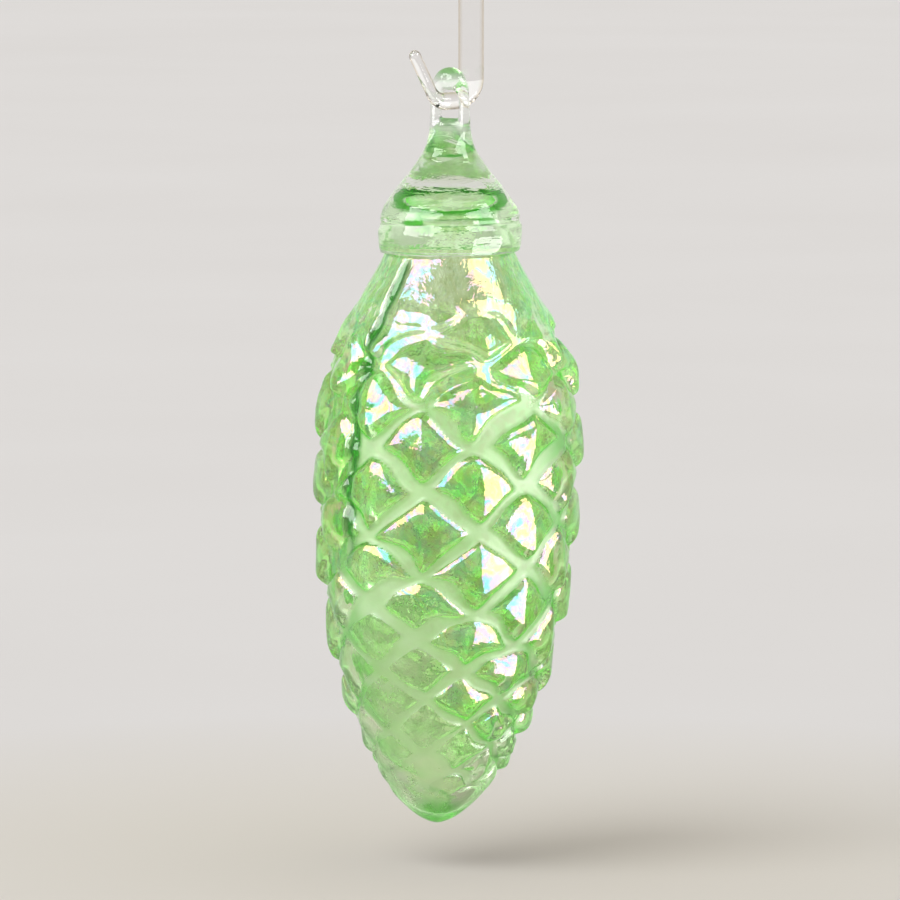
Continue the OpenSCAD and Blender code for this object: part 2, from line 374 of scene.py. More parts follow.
# %% Where each point is
FACING = -130.0
TIP_FADE_H = PLAIN_TIP + 7.0
NECK_FADE_H = SCALES_TOP - 13.0
place = places(bubble)
points = get_points(bubble)
radius = np.hypot(points[:, 0], points[:, 1])
turn = np.arctan2(points[:, 1], points[:, 0])
profile_h = np.array(skin_heights + [CONE_LEN] * len(lip) + cavity_heights)
profile_row = np.interp(profile_h, ring_heights, ring_rows)
h = profile_h[place]
row = profile_row[place]
skin_count = len(skin_heights)
outside = place < skin_count
inside = place >= skin_count + len(lip)
view_side = np.mod(np.degrees(turn) - FACING + 180, 360) - 180
fade = between(h, PLAIN_TIP, TIP_FADE_H) * between(h, SCALES_TOP, NECK_FADE_H)
print(outside.sum(), "points outside,", inside.sum(), "inside")

# %% [markdown]
# Low on the left and round the tip the scales are worn, as if the glass had cooled before the mould
# closed: the skin is nearly flat there, with soft dents. The shoulder above the last full row is
# lumpy. Dents and lumps are two crossed waves each, which leave no hard edge in the glass.

# %% Worn scales, lumps and dents
WORN_SIDE = -34.0
WORN_SPREAD = 34.0
WORN_H, WORN_FULL_H = 56.0, 32.0
WORN_TIP_H, WORN_TIP_FULL_H = 30.0, 16.0
WORN_TIP_SIDES = [(34.0, -6.0), (-110.0, -70.0)]
WORN_SHARE = 0.95
WORN_RISE = 0.85
WORN_SWELL = 0.22
LUMP = 0.5
LUMP_WAVES = [(9, 0.31, 0), (5, -0.47, 1)]
LUMPS_FULL_H = 84.0
LUMPS_FADE_H, LUMPS_END_H = SCALES_TOP - 5.0, SCALES_TOP + 1.0
DENT = 0.16
DENT_WAVES = [(8, 0.55, 0), (5, -0.8, 2)]
DENTED_TIP_H, DENTED_TIP_FULL_H = 20.0, 12.0
POINT_H, POINT_END_H = 2.0, 7.0


def cross_waves(waves):
    crossed = 1.0
    for count, rise, start in waves:
        crossed = crossed * np.sin(count * turn + rise * h + start)
    return crossed


# This worn mask also carries a painted glow: the worn side and the tip are painted paler.
worn_tip = between(h, WORN_TIP_H, WORN_TIP_FULL_H)
for none_at, full_at in WORN_TIP_SIDES:
    worn_tip = worn_tip * between(view_side, none_at, full_at)
worn_side = np.exp(-((view_side - WORN_SIDE) / WORN_SPREAD) ** 2) * between(h, WORN_H, WORN_FULL_H)
worn_and_glow = np.maximum(worn_side, worn_tip)
lumpy = between(h, SHOULDER_H, LUMPS_FULL_H) * between(h, LUMPS_END_H, LUMPS_FADE_H)
dented = np.maximum(worn_and_glow, between(h, DENTED_TIP_H, DENTED_TIP_FULL_H)) * between(h, POINT_H, POINT_END_H)
lumps = LUMP * cross_waves(LUMP_WAVES) * lumpy + DENT * cross_waves(DENT_WAVES) * dented
scale_rise, scale_top, bulge = press(turn, h, row)
scale_rise = scale_rise * (1 - WORN_SHARE * worn_and_glow) + (WORN_RISE + WORN_SWELL * bulge) * worn_and_glow
print("lumps and dents from", lumps.min().round(2), "to", lumps.max().round(2), "mm")

# %% [markdown]
# Down the left of the shoulder and the neck runs a fold where the glass lapped on itself. It is a
# narrow groove with a low bank beside it. It follows a line of a few heights and headings, is now
# deeper and now shallower, and ends at the rim of the cap.

# %% The fold
FOLD_LINE_H = [40.0, 63.7, 74.7, 92.0, 104.5]
FOLD_LINE_SIDE = [-51.0, -48.5, -46.5, -44.5, -39.0]
FOLD_H, FOLD_FULL_H = 46.0, 60.0
RIM_DROP = 6.9
FOLD_END_H = CONE_LEN - RIM_DROP
FOLD_END_FADE = 3.0
FOLD_CHANGE = 0.25
FOLD_CHANGES = 0.9
FOLD_WIDTH = 0.95
BANK_OFF = 1.35
BANK_WIDTH = 0.6
fold_line = np.interp(h, FOLD_LINE_H, FOLD_LINE_SIDE)
fold_off = np.radians(view_side - fold_line) * skin_r(h)
fold_reach = between(h, FOLD_H, FOLD_FULL_H) * between(h, FOLD_END_H, FOLD_END_H - FOLD_END_FADE)
fold_reach = fold_reach * (1 - FOLD_CHANGE + FOLD_CHANGE * np.sin(h * FOLD_CHANGES))
fold = fold_reach * np.exp(-(fold_off / FOLD_WIDTH) ** 2)
fold_bank = fold_reach * np.exp(-((fold_off + BANK_OFF) / BANK_WIDTH) ** 2)
print("fold on", (fold[outside] > 0.5).sum(), "points")

# %% [markdown]
# Now the points move. The cavity follows the scales softly, as the inside of soft glass does. The
# skin is drawn in by a fifth of a millimetre and is a touch oval, and the whole bubble drifts off
# its axis towards the tip, as hot glass sags.

# %% Move the points
FOLD_DEPTH = 0.6
BANK_RISE = 0.35
FOLLOW = 0.35
FOLLOW_LEVEL = 0.6
OVAL = 0.10
OVAL_TURN = math.radians(40)
DRAWN_IN = 0.2
DRIFT = 2.4
DRIFT_TURN = math.radians(140)
skin_move = fade * (scale_rise - GROOVE) + lumps - FOLD_DEPTH * fold + BANK_RISE * fold_bank
cavity_move = fade * FOLLOW * (scale_rise - FOLLOW_LEVEL)
swell = fade * (OVAL * np.sin(2 * turn + OVAL_TURN) - DRAWN_IN)
moved = np.maximum(radius + skin_move * outside + cavity_move * inside, 0) + swell * outside
drift = DRIFT * (1 - h / CONE_LEN) ** 2
set_points(bubble, np.column_stack([
    moved * np.cos(turn) + drift * math.cos(DRIFT_TURN),
    moved * np.sin(turn) + drift * math.sin(DRIFT_TURN),
    h + TIP_Z]))
tell(bubble)

# %% [markdown]
# ## What the finish has to know
# A finish sees only the surface, so what is known of each point here is stored on it. Milk is the
# cloudiness of the pressed grooves, a little also of the tip and the worn side, and none in the
# fold. Depth is how much green a ray meets: more in high scales, less on the drawn neck. It also
# carries painted shade, deeper on the left past the fold, and a painted glow, paler on the worn side.

# %% Store milk and depth
GROOVE_WORN = 0.85
TIP_MILK = 0.10
TIP_MILK_H, TIP_MILK_FULL_H = 18.0, 6.0
PAST_FOLD_FADE = 6.0
PAST_FOLD_SIDE, PAST_FOLD_FULL_SIDE = -110.0, -80.0
PAST_FOLD_H, PAST_FOLD_FULL_H = 40.0, 55.0
SHOULDER_CLEAR = 0.85
SHOULDER_CLEAR_H, SHOULDER_CLEAR_FULL_H = 70.0, 84.0
PAST_FOLD_CLEAR = 0.8
WORN_MILK = 0.2
FOLD_CLEAR = 2.0
NECK_THIN_H, NECK_THIN_FULL_H = 98.0, 106.0
PLAIN_DEPTH = 0.25
SCALE_DEPTH, PAST_FOLD_SHADE = 0.45, 0.55
NECK_PALE, WORN_PAINTED_GLOW = 0.2, 0.4


def store(piece, name, values):
    layer = piece.data.attributes.new(name, "FLOAT", "POINT")
    layer.data.foreach_set("value", np.asarray(values, dtype=np.float32))


past_fold = ease((fold_line - view_side) / PAST_FOLD_FADE)
past_fold = past_fold * between(view_side, PAST_FOLD_SIDE, PAST_FOLD_FULL_SIDE)
past_fold = past_fold * between(h, PAST_FOLD_H, PAST_FOLD_FULL_H)
groove_milk = fade * (1 - scale_top) * (1 - GROOVE_WORN * worn_and_glow) * (1 - PAST_FOLD_CLEAR * past_fold)
groove_milk = groove_milk * (1 - SHOULDER_CLEAR * between(h, SHOULDER_CLEAR_H, SHOULDER_CLEAR_FULL_H))
tip_milk = TIP_MILK * between(h, TIP_MILK_H, TIP_MILK_FULL_H)
milk = np.maximum(groove_milk, tip_milk) + WORN_MILK * worn_and_glow - FOLD_CLEAR * fold
neck_thin = between(h, NECK_THIN_H, NECK_THIN_FULL_H)
# Painted shade deepens the green on the left past the fold; a painted glow makes the worn side paler.
depth = PLAIN_DEPTH + SCALE_DEPTH * fade * scale_rise / RELIEF + PAST_FOLD_SHADE * past_fold
depth = depth - NECK_PALE * neck_thin - WORN_PAINTED_GLOW * worn_and_glow
store(bubble, "milk", np.clip(milk, 0, 1) * outside)
store(bubble, "depth", np.clip(depth, 0, 1))
print("milk up to", milk.max().round(2), "depth up to", depth.max().round(2))

# %% [markdown]
# The rest marks places: the streaky neck, where the fumed film is thick or thin, the worn side, the
# gather of solid glass at the very tip, the fold, the skin that carries the film, and the lip that
# stands inside the cap.

# %% Store the places
FUME_H, FUME_FULL_H = 80.0, 92.0
FUME_SPREAD, FUME_SHIFT = 40.0, 0.2
FUME_LEAST, FUME_MOST = -1.0, 0.8
STREAKS_H, STREAKS_FULL_H = 86.0, 96.0
WORN_TIP_AND_GLOW = 0.8
WORN_TIP_GLOW_H, WORN_TIP_GLOW_FULL_H = 24.0, 12.0
GATHER_H, GATHER_FULL_H = 3.6, 1.0
FOLD_SHADE = 2.6
FILM_FADE, FILM_END = 0.04, 0.14
LIP_REACH = 0.01
fume = np.clip(-view_side / FUME_SPREAD - FUME_SHIFT, FUME_LEAST, FUME_MOST)
# The tip shares the mark, for its dull finish and for its painted glow.
worn_tip_and_glow = WORN_TIP_AND_GLOW * between(h, WORN_TIP_GLOW_H, WORN_TIP_GLOW_FULL_H)
marks = {
    "neck": between(h, STREAKS_H, STREAKS_FULL_H),
    "fume": between(h, FUME_H, FUME_FULL_H) * fume,
    "worn_and_glow": np.maximum(worn_and_glow, worn_tip_and_glow),
    "gather": between(h, GATHER_H, GATHER_FULL_H) * outside,
    # The fold mark carries painted shade: the crease is painted dark green.
    "fold": np.clip(FOLD_SHADE * fold, 0, 1) * outside,
    "skin": outside * (1 - between(fold, FILM_FADE, FILM_END)),
    "lip": (h > CONE_LEN - LIP_REACH) & ~inside,
}
for mark, values in marks.items():
    store(bubble, mark, values)
print("stored", ", ".join(marks))

# %% [markdown]
# ## Fused places
# Hot glass that is dropped on glass leaves no surface between the two. Here the pieces stay
# separate, so the faces where they are fused get a finish of their own that light passes unbent.
# The rest is shaded smooth, and stays sharp only where two faces meet steeply.

# %% Smooth glass and fused faces
STEEP = 60


def fuse_faces(piece, fused_points):
    counts = np.empty(len(piece.data.polygons), dtype=np.int32)
    piece.data.polygons.foreach_get("loop_total", counts)
    corners = np.empty(len(piece.data.loops), dtype=np.int32)
    piece.data.loops.foreach_get("vertex_index", corners)
    starts = np.concatenate([[0], np.cumsum(counts)[:-1]])
    fused = np.minimum.reduceat(fused_points[corners].astype(np.int32), starts)
    piece.data.polygons.foreach_set("material_index", fused)
    piece.data.update()
    print(piece.name, np.bincount(fused), "faces to each finish")


def smooth(piece, angle=None):
    start_piece()
    piece.select_set(True)
    bpy.context.view_layer.objects.active = piece
    if angle is None:
        bpy.ops.object.shade_smooth()
    else:
        bpy.ops.object.shade_smooth_by_angle(angle=math.radians(angle))


bubble_fused = (h > lip_start) & ~inside | (place == skin_count + len(lip))
smooth(bubble, STEEP)
print(bubble_fused.sum(), "points of the bubble are fused to the cap")

# %% [markdown]
# ## The cap
# A gob of clear glass is dropped on the open neck. The hollow of the bubble domes up into it, its
# rim rolls over the outside of the neck in a bead, and it is drawn up into a trumpet where the loop
# begins. It is turned from a profile like the bubble. The first half of the profile is the
# underside: the dome over the hollow, the seat on the lip, the skirt down the neck, the bead.

# %% Underside of the cap
HAIRLINE = 0.02
RIM_THICK = 1.3
ROOF_RISE = 2.4
SKIRT_PLAY = 0.15
SKIRT_START = -0.3
SKIRT_FLARE = 0.03
QUARTER_STEPS = 13
SEAT_STEPS = 4
SKIRT_STEPS = 12
skirt_r = float(skin_r(CONE_LEN - RIM_DROP)) + SKIRT_PLAY
mouth_r = LIP_R - WALL
bead_r = RIM_THICK / 2
quarter = np.linspace(0, math.pi / 2, QUARTER_STEPS)
roof = [(mouth_r * math.sin(a), ROOF_RISE * math.cos(a)) for a in quarter[:-1]]
seat = [(r, HAIRLINE) for r in np.linspace(mouth_r, LIP_R + HAIRLINE, SEAT_STEPS)]
skirt = [(float(skin_r(CONE_LEN + z)) + HAIRLINE - SKIRT_FLARE * z, z)
         for z in np.linspace(SKIRT_START, bead_r - RIM_DROP, SKIRT_STEPS)]
bead = [(skirt_r + bead_r * (1 - math.cos(a)), bead_r * (1 - math.sin(a)) - RIM_DROP)
        for a in quarter[1:]]
print(len(roof + seat + skirt + bead), "points under the cap")

# %% [markdown]
# The second half is the outside: round the rim, over the crease between the bead and the trumpet,
# and up to the flat top that carries the loop.

# %% Outside of the cap, and the spin
RIM_HEIGHT = 4.3
CAP_TOP_R = 4.6
TRUMPET_CURVE = 0.6
TRUMPET_STEPS = 61
CREASE = 0.45
CREASE_HEIGHT = 1.2
CREASE_WIDTH = 0.8
CAP_COLUMNS = 144
rim_r = skirt_r + RIM_THICK
rim_level = RIM_HEIGHT - RIM_DROP
rim = [(skirt_r + bead_r * (1 + math.sin(a)), RIM_HEIGHT * (1 - math.cos(a)) - RIM_DROP)
       for a in quarter[1:-1]]
trumpet_len = CAP_LEN - HAIRLINE - rim_level
trumpet = []
for t in np.linspace(0, 1, TRUMPET_STEPS):
    flare = TRUMPET_CURVE * (1 + math.cos(math.pi * t)) / 2 + (1 - TRUMPET_CURVE) * (1 - t * t)
    crease = CREASE * math.exp(-((trumpet_len * t - CREASE_HEIGHT) / CREASE_WIDTH) ** 2)
    trumpet.append((CAP_TOP_R + (rim_r - CAP_TOP_R) * flare - crease, rim_level + trumpet_len * t))
top = [(CAP_TOP_R * share, CAP_LEN - HAIRLINE) for share in (0.67, 0.33, 0.0)]
cap_line = roof + seat + skirt + bead + rim + trumpet + top
cap = turn_profile("cap_glass", cap_line, CAP_COLUMNS)
cap_place = places(cap)
seat_start = len(roof)
fused_seat = (cap_place >= seat_start) & (cap_place < seat_start + len(seat) + len(skirt))
fused_top = cap_place >= len(cap_line) - len(top) - 1
on_roof = cap_place <= seat_start
tell(cap)

# %% [markdown]
# Gravity shaped the cap while it was soft: the rim is higher on one side, and runs up, down, in and
# out by about a tenth of a millimetre. The move fades to nothing where the cap is fused to the neck
# and to the loop.

# %% Tip and wave the rim
STILL_BELOW_TOP = 4.0
FREE_BELOW_TOP = 10.0
TILT = 0.35
TILT_TURN = math.radians(FACING + 80)
RIM_WAVES = [(0.10, 5, 0, 0)]
RIM_SHRINK = 0.006
RIM_SHRINK_WAVES = [(0.006, 3, 0, 1), (0.004, 7, 0, 0)]
cap_points = get_points(cap)
cap_turn = np.arctan2(cap_points[:, 1], cap_points[:, 0])
cap_r = np.hypot(cap_points[:, 0], cap_points[:, 1])
free = between(cap_points[:, 2], CAP_LEN - STILL_BELOW_TOP, CAP_LEN - FREE_BELOW_TOP)
free = free * between(cap_r, skirt_r, rim_r)
lift = add_waves(TILT * np.cos(cap_turn - TILT_TURN), RIM_WAVES, cap_turn, 0)
shrink = add_waves(RIM_SHRINK, RIM_SHRINK_WAVES, cap_turn, 0)
cap_points[:, :2] *= (1 - free * shrink)[:, None]
cap_points[:, 2] += free * lift + MOUTH_Z
set_points(cap, cap_points)
smooth(cap, STEEP)
tell(cap)

# %% [markdown]
# ## Drawn glass
# The loop and the hook are rods drawn out of hot glass, thick in one place and thin in another. A
# curve with its own radius at every point does just that, and becomes a mesh when it is converted.


# %% A rod along stations of place and radius
def draw_rod(name, stations, sides):
    start_piece()
    bpy.ops.curve.primitive_bezier_curve_add()
    rod = name_piece(name)
    rod.data.splines.clear()
    line = rod.data.splines.new("POLY")
    line.points.add(len(stations) - 1)
    for point, (x, y, z, r) in zip(line.points, stations):
        point.co = (x * MM, y * MM, z * MM, 1)
        point.radius = r
    rod.data.dimensions = "3D"
    rod.data.bevel_depth = MM
    rod.data.bevel_resolution = sides // 4 - 1
    rod.data.use_fill_caps = True
    bpy.ops.object.convert(target="MESH")
    rod = name_piece(name)
    bpy.ops.object.mode_set(mode="EDIT")
    close_skin(merge=True)
    return rod


# %% [markdown]
# ## The loop
# Two legs rise from a foot on the cap into an arch that is thickest at its crown. The arch is drawn
# as a rod. Its legs start below the top of the foot, so that they sink into it.

# %% Arch of the loop
LEG_R = 0.95
LEG_SWELL = 0.2
CROWN_R = 2.2
HALF_SPAN = 3.0
CROWN_UP = 4.05
ROOT_UP = -4.1
LEG_SHARES = (1.4, 1.0, 0.75, 0.5, 0.25)
ARCH_STEPS = 41
LOOP_SIDES = 32
LOOP_TURN = math.radians(110)


def on_loop(across, up, r):
    return (across * math.cos(LOOP_TURN), across * math.sin(LOOP_TURN), HINGE_Z + up, r)


leg = [(HALF_SPAN, ROOT_UP * t, LEG_R + LEG_SWELL * t) for t in LEG_SHARES]
arch = [(HALF_SPAN * math.cos(a), CROWN_UP * math.sin(a),
         LEG_R + (CROWN_R - LEG_R) * math.sin(a) ** 2) for a in np.linspace(0, math.pi, ARCH_STEPS)]
stations = leg + arch + [(-x, up, r) for x, up, r in reversed(leg)]
loop = draw_rod("loop_glass", [on_loop(*station) for station in stations], LOOP_SIDES)
tell(loop)

# %% [markdown]
# The foot starts as a circle and is extruded up, ring by ring, into a narrow oval that takes both
# legs. Each ring is its half width, its half depth and its height from the hinge. It is made along
# X, where it is easy to size, and then turned to the heading of the loop.

# %% Foot of the loop, extruded ring by ring
FOOT_R = 5.15
FOOT_UP = -9.6
FOOT_SIDES = 48
FOOT_RINGS = [(4.6, 4.6, -8.5), (4.35, 4.1, -7.7), (4.25, 3.35, -6.6), (4.15, 2.5, -5.6),
              (4.1, 1.7, -4.8), (4.0, 1.3, -4.1), (3.8, 0.95, -3.5), (3.3, 0.5, -3.1)]
start_piece()
bpy.ops.mesh.primitive_circle_add(vertices=FOOT_SIDES, radius=FOOT_R * MM, fill_type="NGON",
                                  location=(0, 0, (HINGE_Z + FOOT_UP) * MM))
foot = name_piece("loop_foot")
bpy.ops.object.transform_apply(location=True, rotation=True, scale=True)
bpy.ops.object.mode_set(mode="EDIT")
bpy.ops.mesh.select_all(action="SELECT")
wide, deep, up = FOOT_R, FOOT_R, FOOT_UP
for next_wide, next_deep, next_up in FOOT_RINGS:
    centre = (0, 0, (HINGE_Z + next_up) * MM)
    bpy.ops.mesh.extrude_region_move(TRANSFORM_OT_translate={"value": (0, 0, (next_up - up) * MM)})
    bpy.ops.transform.resize(value=(next_wide / wide, next_deep / deep, 1), center_override=centre)
    wide, deep, up = next_wide, next_deep, next_up
close_skin(merge=False)
foot_points = get_points(foot)
foot_across = foot_points[:, 0].copy()
foot_deep = foot_points[:, 1].copy()
foot_points[:, 0] = foot_across * math.cos(LOOP_TURN) - foot_deep * math.sin(LOOP_TURN)
foot_points[:, 1] = foot_across * math.sin(LOOP_TURN) + foot_deep * math.cos(LOOP_TURN)
set_points(foot, foot_points)
tell(foot)

# %% [markdown]
# Hot glass flows together where it meets. Joining the two meshes and remeshing them in small cells
# gives one skin without an inner wall, and smoothing rounds the creases as heat does. The foot was
# made too long on purpose: a bisect cuts it flat where it sits on the cap.

# %% Flow the arch and the foot together
FLOW_CELL = 0.2
FLOW_SOFTNESS = 0.5
FLOW_ROUNDS = 12
CUT_REACH = 0.005
start_piece()
foot.select_set(True)
loop.select_set(True)
bpy.context.view_layer.objects.active = loop
bpy.ops.object.join()
flow = loop.modifiers.new("flow", "REMESH")
flow.mode = "VOXEL"
flow.voxel_size = FLOW_CELL * MM
bpy.ops.object.modifier_apply(modifier="flow")
settle = loop.modifiers.new("settle", "SMOOTH")
settle.factor = FLOW_SOFTNESS
settle.iterations = FLOW_ROUNDS
bpy.ops.object.modifier_apply(modifier="settle")
bpy.ops.object.mode_set(mode="EDIT")
bpy.ops.mesh.select_all(action="SELECT")
bpy.ops.mesh.bisect(plane_co=(0, 0, FOOT_Z * MM), plane_no=(0, 0, 1), use_fill=True,
                    clear_inner=True, threshold=MERGE_REACH)
close_skin(merge=False)
loop_fused = np.abs(get_points(loop)[:, 2] - FOOT_Z) < CUT_REACH
smooth(loop, STEEP)
tell(loop)

# %% [markdown]
# ## The hook
# The hook is a clear rod with a crook at each end. It is drawn thinner round each bend to the seat
# and on to a rounded tip that leans out. One half is worked out from the lower seat, and the upper
# half is its mirror image.

# %% Stations of the hook
ROD_R = 2.35
CROOK_R = 1.62
CROOK_X = 1.2
BEND_R = 3.85
HOOK_DROP = 36.0
HOOK_TIP_R = 1.1
HOOK_TIP_LEN = 7.6
HOOK_TIP_LEAN = 30.0
NEAR_END = 1.5
END_STEPS, LEAN_STEPS, BEND_STEPS = 10, 25, 29
SHANK_UPS = (8.0, 11.0, 14.5)
HOOK_SIDES = 48
sweep = math.radians(90 - HOOK_TIP_LEAN)


def on_bend(way, angle, r):
    return (way * (CROOK_X + BEND_R * math.sin(angle)), BEND_R * (1 - math.cos(angle)), r)


def on_tip(beyond, r):
    x, up, r = on_bend(-1, sweep, r)
    return (x - beyond * math.cos(sweep), up + beyond * math.sin(sweep), r)


half = [on_tip(HOOK_TIP_LEN + HOOK_TIP_R * math.sin(a), HOOK_TIP_R * math.cos(a))
        for a in np.linspace(NEAR_END, 0, END_STEPS)]
half += [on_tip(HOOK_TIP_LEN * share, HOOK_TIP_R) for share in (0.75, 0.5, 0.25)]
half += [on_bend(-1, a, CROOK_R + (HOOK_TIP_R - CROOK_R) * a / sweep)
         for a in np.linspace(sweep, 0, LEAN_STEPS)]
half += [(CROOK_X * share, 0, CROOK_R) for share in (-0.5, 0.0, 0.5)]
half += [on_bend(1, a, CROOK_R + (ROD_R - CROOK_R) * ease(a / (math.pi / 2)))
         for a in np.linspace(0, math.pi / 2, BEND_STEPS)]
half += [(CROOK_X + BEND_R, up, ROD_R) for up in SHANK_UPS]
whole = half + [(x, HOOK_DROP - up, r) for x, up, r in reversed(half)]
hook = draw_rod("hook_glass", [(x, 0.0, HINGE_Z + up, r) for x, up, r in whole], HOOK_SIDES)
smooth(hook)
tell(hook)

# %% [markdown]
# ## Glass
# Glass bends light and lets it through, so every finish is a Principled shader with its transmission
# up and the refraction of soda glass. What differs is the tint, how clean the surface is, and the
# skin. A few helpers stand for the nodes that each finish is wired from: a noise on the piece's own
# coordinates, a value moved from an old range to a new one, and sums on values. Coordinates are in
# metres, so a noise of scale 300 has clouds of about three millimetres.

# %% A glass finish to start from
GLASS_BEND = 1.5
POLISH = 0.02


def start_glass(name, tint):
    finish = bpy.data.materials.new(name)
    finish.use_nodes = True
    tree = finish.node_tree
    shader = tree.nodes["Principled BSDF"]
    shader.inputs["Base Color"].default_value = (*tint, 1)
    shader.inputs["Transmission Weight"].default_value = 1.0
    shader.inputs["IOR"].default_value = GLASS_BEND
    shader.inputs["Roughness"].default_value = POLISH
    return finish, tree, shader


def noise(tree, scale, detail=2.0, distortion=0.0, stretch=(1, 1, 1)):
    where = tree.nodes.new("ShaderNodeTexCoord")
    stretched = tree.nodes.new("ShaderNodeMapping")
    stretched.inputs["Scale"].default_value = stretch
    cloud = tree.nodes.new("ShaderNodeTexNoise")
    cloud.inputs["Scale"].default_value = scale
    cloud.inputs["Detail"].default_value = detail
    cloud.inputs["Distortion"].default_value = distortion
    tree.links.new(where.outputs["Object"], stretched.inputs["Vector"])
    tree.links.new(stretched.outputs["Vector"], cloud.inputs["Vector"])
    return cloud.outputs["Fac"]


def remap(tree, value, old, new):
    span = tree.nodes.new("ShaderNodeMapRange")
    span.inputs["From Min"].default_value = old[0]
    span.inputs["From Max"].default_value = old[1]
    span.inputs["To Min"].default_value = new[0]
    span.inputs["To Max"].default_value = new[1]
    tree.links.new(value, span.inputs["Value"])
    return span.outputs["Result"]


def reckon(tree, how, *values):
    step = tree.nodes.new("ShaderNodeMath")
    step.operation = how
    for socket, value in zip(step.inputs, values):
        if isinstance(value, (int, float)):
            socket.default_value = value
        else:
            tree.links.new(value, socket)
    return step.outputs["Value"]


def multiply(tree, product, *factors):
    for factor in factors:
        product = reckon(tree, "MULTIPLY", product, factor)
    return product


# %% [markdown]
# A Mix node has sockets for numbers, vectors and colours under the same names, so its colours are
# found by their number. An edge is where a surface turns away from the eye.

# %% Helpers for tints, stored values, edges and bumps
FIRST_TINT, SECOND_TINT, MIXED_TINT = 6, 7, 2


def blend_tints(tree, amount, first, second):
    step = tree.nodes.new("ShaderNodeMix")
    step.data_type = "RGBA"
    for socket, tint in ((step.inputs[FIRST_TINT], first), (step.inputs[SECOND_TINT], second)):
        if isinstance(tint, tuple):
            socket.default_value = (*tint, 1)
        else:
            tree.links.new(tint, socket)
    tree.links.new(amount, step.inputs["Factor"])
    return step.outputs[MIXED_TINT]


def stored(tree, name):
    layer = tree.nodes.new("ShaderNodeAttribute")
    layer.attribute_name = name
    return layer.outputs["Fac"]


def edge_of(tree, blend, facing):
    weight = tree.nodes.new("ShaderNodeLayerWeight")
    weight.inputs["Blend"].default_value = blend
    return remap(tree, weight.outputs["Facing"], facing, (0.0, 1.0))


def bump(tree, height, strength, distance, under=None):
    step = tree.nodes.new("ShaderNodeBump")
    if isinstance(strength, float):
        step.inputs["Strength"].default_value = strength
    else:
        tree.links.new(strength, step.inputs["Strength"])
    step.inputs["Distance"].default_value = distance
    tree.links.new(height, step.inputs["Height"])
    if under is not None:
        tree.links.new(under, step.inputs["Normal"])
    return step.outputs["Normal"]


# %% [markdown]
# ### Green glass
# The green is in the glass itself, so it is deep where there is much glass and pale where there is
# little. A volume inside the wall could do that. A tint at each crossing of the surface renders
# faster and follows the stored depth, so it is used here. A ray crosses the hollow bubble at four
# surfaces, so one crossing takes little. Clouds keep the green from being even, brownish smoke lies
# in patches on the skin, and the worn side and the tip are painted palest, as a painted glow.

# %% Depth, smoke and wear of the green glass
MEAN_GREEN = (0.55, 0.85, 0.45)
THIN_GREEN, THICK_GREEN = (0.88, 0.995, 0.76), (0.33, 0.93, 0.16)
DEPTH_CLOUD = 0.35
SMOKE = (0.62, 0.53, 0.34)
SMOKE_MOST = 0.8
SMOKE_WHERE_WORN = 0.1
PAINTED_GLOW_GREEN = (0.89, 1.0, 0.77)
PAINTED_GLOW_SHARE = 0.85
green, tree, shader = start_glass("green_glass", MEAN_GREEN)
worn_and_glow_mask = stored(tree, "worn_and_glow")
cloud = noise(tree, scale=160, detail=5, distortion=0.6)
cloud = remap(tree, cloud, (0.3, 0.7), (-DEPTH_CLOUD, DEPTH_CLOUD))
tint = blend_tints(tree, reckon(tree, "ADD", stored(tree, "depth"), cloud), THIN_GREEN, THICK_GREEN)
smoke = noise(tree, scale=300, detail=4, distortion=1.0)
smoke = remap(tree, smoke, (0.47, 0.62), (0.0, SMOKE_MOST))
smoke_left = remap(tree, worn_and_glow_mask, (0.0, 1.0), (1.0, SMOKE_WHERE_WORN))
smoke = multiply(tree, smoke, smoke_left, stored(tree, "skin"))
tint = blend_tints(tree, smoke, tint, SMOKE)
# Painted glow: the worn side and the tip are painted a pale, nearly white green.
tint = blend_tints(tree, multiply(tree, worn_and_glow_mask, PAINTED_GLOW_SHARE), tint, PAINTED_GLOW_GREEN)
print(green.name, len(tree.nodes), "nodes")

# %% [markdown]
# The neck was drawn out, so its colour lies in fine upright streaks: a noise that is stretched along
# Z. The milk of the grooves is clotted by another noise, and lets only part of the light through.

# %% Streaks and milk
STREAK_STRETCH = (1, 1, 0.06)
PALE_STREAK, SMOKE_STREAK = (0.88, 0.975, 0.80), (0.58, 0.72, 0.40)
MILK_GREEN = (0.69, 0.98, 0.53)
LEAST_CLOT = 0.55
neck = stored(tree, "neck")
streaks = noise(tree, scale=700, detail=3, stretch=STREAK_STRETCH)
streak_share = remap(tree, streaks, (0.4, 0.65), (0.0, 1.0))
tint = blend_tints(tree, neck, tint, blend_tints(tree, streak_share, PALE_STREAK, SMOKE_STREAK))
clots = noise(tree, scale=260, detail=4, distortion=0.8)
clots = remap(tree, clots, (0.35, 0.65), (LEAST_CLOT, 1.0))
milk_look = multiply(tree, stored(tree, "milk"), clots)
tint = blend_tints(tree, milk_look, tint, MILK_GREEN)
print(green.name, len(tree.nodes), "nodes")

# %% [markdown]
# Where the wall turns away from the eye, light runs a long way through it, and the edge of every
# scale is a strong green line. The fold is the darkest place: the deeper green of the lapped glass
# with painted shade in its crease. The gather of solid glass at the tip is a deep green drop.

